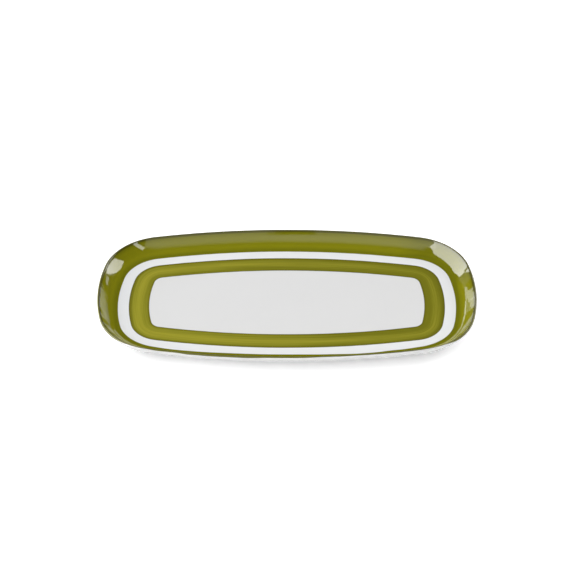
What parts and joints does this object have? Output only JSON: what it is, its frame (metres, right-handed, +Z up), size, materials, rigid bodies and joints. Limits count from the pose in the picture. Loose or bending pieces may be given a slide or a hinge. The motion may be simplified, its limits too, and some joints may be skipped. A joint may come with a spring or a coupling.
{
  "type": "serving plate",
  "caption": "Long shallow serving plate with bowed sides, round corners, an upturned rim and a foot ring, for asparagus and other long food laid side by side.",
  "frame": {"origin": "centre of the face that the foot ring stands on", "axes": "+X along the plate, +Y across it, +Z up out of the well"},
  "size_m": [0.38, 0.204, 0.0217],
  "materials": {
    "clay": "matte",
    "white_glaze": "gloss",
    "green_glaze": "gloss",
    "light_green_glaze": "gloss"
  },
  "bodies": {
    "root": {"clay_body": "clay", "well_glaze": "white_glaze", "well_green_band": "light_green_glaze", "white_band": "white_glaze", "rim_green_band": "green_glaze", "outside_glaze": "white_glaze", "recess_glaze": "white_glaze"}
  },
  "joints": []
}
